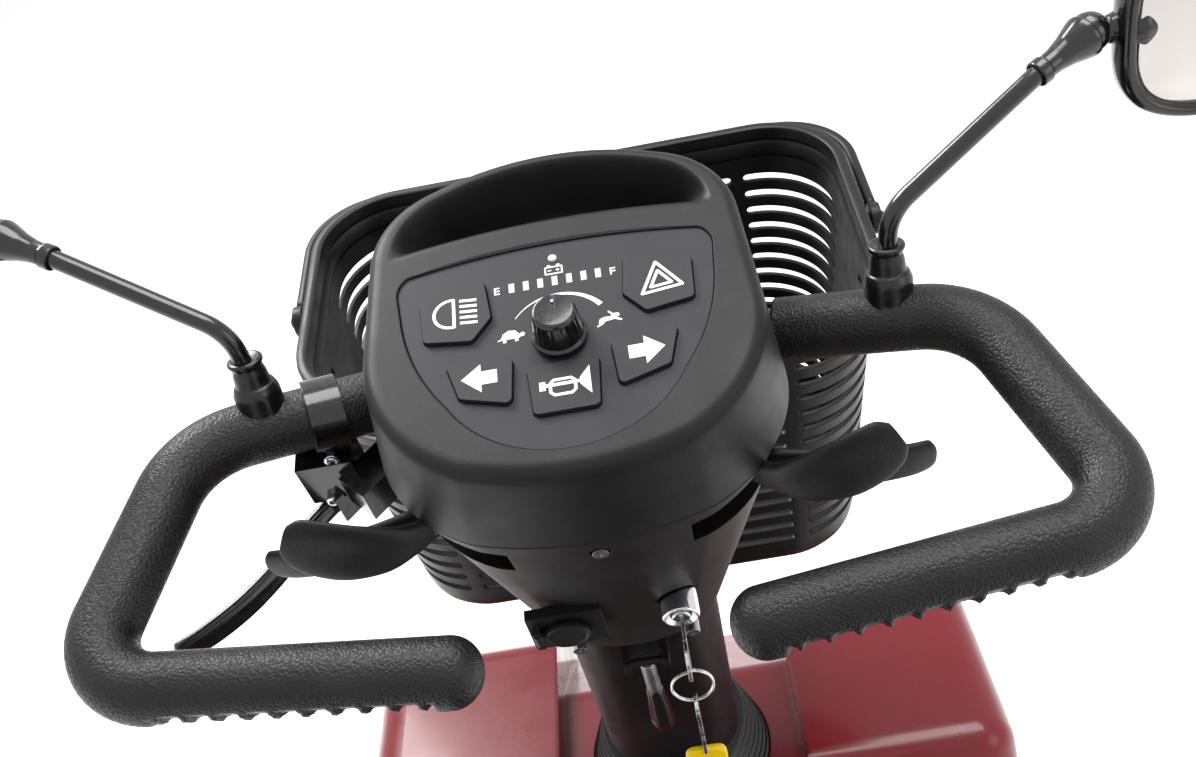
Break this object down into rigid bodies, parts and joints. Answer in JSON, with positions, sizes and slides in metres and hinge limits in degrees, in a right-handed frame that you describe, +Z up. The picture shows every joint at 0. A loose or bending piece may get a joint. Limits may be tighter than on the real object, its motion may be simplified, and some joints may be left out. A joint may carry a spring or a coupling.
{
  "type": "mobility scooter",
  "caption": "Four-wheel mobility scooter with a tilting tiller, wraparound handlebar, front basket, round red fenders and a swivel seat.",
  "frame": {"origin": "on the ground under the middle of the whole scooter", "axes": "+Y forward, +X to the rider's right, +Z up; tiller straight ahead at its usual rake"},
  "size_m": [0.918, 1.2785, 1.0887],
  "materials": {
    "frame_paint": "semi-gloss black powder coat",
    "cast_aluminium": "as cast",
    "battery_case": "moulded battery case",
    "controller_case": "anodised heat sink",
    "dark_plastic": "fine grain, charcoal",
    "head_plastic": "fine spark grain, charcoal",
    "panel_plastic": "smooth satin grey",
    "mat_rubber": "ribbed",
    "lamp_lens": "clear, amber and red lenses",
    "red_paint": "deep gloss red with clear coat, standing for painted ABS",
    "bumper_rubber": "matt",
    "zinc_steel": "zinc plated",
    "tyre": "treaded",
    "rim_alloy": "satin silver",
    "seat_vinyl": "grained black vinyl",
    "arm_foam": "self-skinned foam",
    "gloss_black": "glossy black",
    "boot_rubber": "glossy moulded rubber",
    "grip_foam": "leather-grained self-skinned foam",
    "board_green": "circuit board",
    "screw_steel": "blackened cross-head",
    "lock_chrome": "polished",
    "key_steel": "nickel plated",
    "bracket_paint": "gloss black",
    "cable_sheath": "smooth sheath",
    "basket_plastic": "moulded black"
  },
  "bodies": {
    "chassis": {"main_frame": "frame_paint", "transaxle": "cast_aluminium", "battery_packs": "battery_case", "controller": "controller_case", "floor_deck": "dark_plastic", "floor_mat": "mat_rubber", "lamps": "lamp_lens", "front_cowl": "red_paint", "rear_body_cover": "red_paint", "bumpers": "bumper_rubber"},
    "stem": {"steering_stem": "frame_paint", "bellows": "bumper_rubber"},
    "knuckle_left": {"steering_knuckle_left": "frame_paint"},
    "knuckle_right": {"steering_knuckle_right": "frame_paint"},
    "tie_rod": {"tie_rod": "zinc_steel"},
    "front_wheel_left": {"front_tyre_left": "tyre", "front_rim_left": "rim_alloy"},
    "front_wheel_right": {"front_tyre_right": "tyre", "front_rim_right": "rim_alloy"},
    "rear_wheel_left": {"rear_tyre_left": "tyre", "rear_rim_left": "rim_alloy"},
    "rear_wheel_right": {"rear_tyre_right": "tyre", "rear_rim_right": "rim_alloy"},
    "anti_tip_wheels": {"anti_tip_wheels": "bumper_rubber"},
    "seat": {"seat_base": "frame_paint", "seat_cushion": "seat_vinyl"},
    "backrest": {"seat_backrest": "seat_vinyl"},
    "armrest_left": {"armrest_left": "arm_foam"},
    "armrest_right": {"armrest_right": "arm_foam"},
    "tiller": {"tiller_tube": "frame_paint", "column_cover": "dark_plastic", "handlebar_tube": "frame_paint", "mirror_stems": "gloss_black", "mirror_boots": "boot_rubber", "foam_grips": "grip_foam", "console_panel": "panel_plastic", "circuit_board": "board_green", "head_screws": "screw_steel", "charger_socket": "gloss_black", "ignition_lock": "lock_chrome", "brake_bracket": "bracket_paint", "brake_cable": "cable_sheath", "head_upper_shell": "head_plastic", "head_lower_shell": "head_plastic"},
    "tilt_lever": {"tilt_lever": "gloss_black"},
    "mirror_left": {"mirror_head_left": "gloss_black"},
    "mirror_right": {"mirror_head_right": "gloss_black"},
    "speed_knob": {"speed_knob": "gloss_black"},
    "charger_cap": {"charger_cap": "boot_rubber"},
    "key": {"key": "key_steel"},
    "key_ring": {"key_ring_set": "key_steel"},
    "speed_paddles": {"speed_paddles": "dark_plastic"},
    "brake_lever": {"brake_lever": "bracket_paint"},
    "basket": {"basket": "basket_plastic"},
    "basket_handle": {"basket_handle": "basket_plastic"},
    "headlight_button": {"headlight_button": "panel_plastic"},
    "hazard_button": {"hazard_button": "panel_plastic"},
    "left_arrow_button": {"left_arrow_button": "panel_plastic"},
    "right_arrow_button": {"right_arrow_button": "panel_plastic"},
    "horn_button": {"horn_button": "panel_plastic"}
  },
  "joints": [
    {"name": "steer", "type": "hinge", "parent": "chassis", "child": "stem", "pos_m": [0, 0.39483, 0.2], "axis": [0, 0, 1], "range_deg": [-32, 32]},
    {"name": "knuckle_left_turn", "type": "hinge", "parent": "chassis", "child": "knuckle_left", "pos_m": [-0.178, 0.44, 0.132], "axis": [0, 0, 1], "range_deg": [-32, 32]},
    {"name": "knuckle_right_turn", "type": "hinge", "parent": "chassis", "child": "knuckle_right", "pos_m": [0.178, 0.44, 0.132], "axis": [0, 0, 1], "range_deg": [-32, 32]},
    {"name": "tie_rod_turn", "type": "hinge", "parent": "stem", "child": "tie_rod", "pos_m": [0, 0.33483, 0.082], "axis": [0, 0, 1], "range_deg": [-32, 32]},
    {"name": "front_wheel_left_spin", "type": "hinge", "parent": "knuckle_left", "child": "front_wheel_left", "pos_m": [-0.24, 0.44, 0.132], "axis": [1, 0, 0], "continuous": true},
    {"name": "rear_wheel_left_spin", "type": "hinge", "parent": "chassis", "child": "rear_wheel_left", "pos_m": [-0.25, -0.405, 0.132], "axis": [1, 0, 0], "continuous": true},
    {"name": "front_wheel_right_spin", "type": "hinge", "parent": "knuckle_right", "child": "front_wheel_right", "pos_m": [0.24, 0.44, 0.132], "axis": [1, 0, 0], "continuous": true},
    {"name": "rear_wheel_right_spin", "type": "hinge", "parent": "chassis", "child": "rear_wheel_right", "pos_m": [0.25, -0.405, 0.132], "axis": [1, 0, 0], "continuous": true},
    {"name": "anti_tip_spin", "type": "hinge", "parent": "chassis", "child": "anti_tip_wheels", "pos_m": [0, -0.612, 0.032], "axis": [1, 0, 0], "continuous": true},
    {"name": "seat_swivel", "type": "hinge", "parent": "chassis", "child": "seat", "pos_m": [0, -0.322, 0.4], "axis": [0, 0, 1], "continuous": true},
    {"name": "backrest_fold", "type": "hinge", "parent": "seat", "child": "backrest", "pos_m": [0, -0.5, 0.625], "axis": [-1, 0, 0], "range_deg": [0, 78]},
    {"name": "armrest_left_lift", "type": "hinge", "parent": "seat", "child": "armrest_left", "pos_m": [-0.274, -0.5, 0.788], "axis": [1, 0, 0], "range_deg": [0, 92]},
    {"name": "armrest_right_lift", "type": "hinge", "parent": "seat", "child": "armrest_right", "pos_m": [0.274, -0.5, 0.788], "axis": [1, 0, 0], "range_deg": [0, 92]},
    {"name": "tiller_tilt", "type": "hinge", "parent": "stem", "child": "tiller", "pos_m": [0, 0.39483, 0.33004], "axis": [1, 0, 0], "range_deg": [-20, 15], "deforming": ["bellows"]},
    {"name": "tilt_lever_pull", "type": "hinge", "parent": "tiller", "child": "tilt_lever", "pos_m": [0, 0.23839, 0.63355], "axis": [-1, 0, 0], "range_deg": [0, 18], "stiffness_Nm_per_rad": 0.5},
    {"name": "mirror_left_turn", "type": "hinge", "parent": "tiller", "child": "mirror_left", "pos_m": [-0.297, 0.24619, 1.03669], "axis": [0, 0, 1], "range_deg": [-15, 15]},
    {"name": "mirror_right_turn", "type": "hinge", "parent": "tiller", "child": "mirror_right", "pos_m": [0.297, 0.24619, 1.03669], "axis": [0, 0, 1], "range_deg": [-15, 15]},
    {"name": "speed_knob_turn", "type": "hinge", "parent": "tiller", "child": "speed_knob", "pos_m": [0, 0.176, 0.955], "axis": [0, -0.309, 0.9511], "range_deg": [-135, 135]},
    {"name": "charger_cap_open", "type": "hinge", "parent": "tiller", "child": "charger_cap", "pos_m": [-0.054, 0.16196, 0.75066], "axis": [0, 0.309, -0.9511], "range_deg": [0, 95]},
    {"name": "key_turn", "type": "hinge", "parent": "tiller", "child": "key", "pos_m": [0.034, 0.14819, 0.74934], "axis": [0, -0.9511, -0.309], "range_deg": [0, 90]},
    {"name": "key_ring_hang", "type": "hinge", "parent": "key", "child": "key_ring", "pos_m": [0.034, 0.12727, 0.74254], "axis": [1, 0, 0], "range_deg": [-35, 35]},
    {"name": "speed_paddles_turn", "type": "hinge", "parent": "tiller", "child": "speed_paddles", "pos_m": [0, 0.20041, 0.87987], "axis": [0, -0.309, 0.9511], "range_deg": [-12, 12], "stiffness_Nm_per_rad": 1.2},
    {"name": "brake_lever_pull", "type": "hinge", "parent": "tiller", "child": "brake_lever", "pos_m": [-0.16, 0.22254, 0.83764], "axis": [-0.6991, 0.6801, 0.221], "range_deg": [0, 18], "stiffness_Nm_per_rad": 2},
    {"name": "headlight_button_press", "type": "slide", "parent": "tiller", "child": "headlight_button", "axis": [0, 0.309, -0.9511], "range_m": [0, 0.0015], "stiffness_N_per_m": 600},
    {"name": "hazard_button_press", "type": "slide", "parent": "tiller", "child": "hazard_button", "axis": [0, 0.309, -0.9511], "range_m": [0, 0.0015], "stiffness_N_per_m": 600},
    {"name": "left_arrow_button_press", "type": "slide", "parent": "tiller", "child": "left_arrow_button", "axis": [0, 0.309, -0.9511], "range_m": [0, 0.0015], "stiffness_N_per_m": 600},
    {"name": "right_arrow_button_press", "type": "slide", "parent": "tiller", "child": "right_arrow_button", "axis": [0, 0.309, -0.9511], "range_m": [0, 0.0015], "stiffness_N_per_m": 600},
    {"name": "horn_button_press", "type": "slide", "parent": "tiller", "child": "horn_button", "axis": [0, 0.309, -0.9511], "range_m": [0, 0.0015], "stiffness_N_per_m": 600},
    {"name": "basket_lift", "type": "slide", "parent": "tiller", "child": "basket", "axis": [0, 0.342, 0.9397], "range_m": [0, 0.32]},
    {"name": "basket_handle_turn", "type": "hinge", "parent": "basket", "child": "basket_handle", "pos_m": [0, 0.45297, 0.83417], "axis": [1, 0, 0], "range_deg": [0, 92]}
  ],
  "couplings": [
    {"joint": "knuckle_left_turn", "follows": "steer", "ratio": 1},
    {"joint": "knuckle_right_turn", "follows": "steer", "ratio": 1},
    {"joint": "tie_rod_turn", "follows": "steer", "ratio": -1}
  ]
}
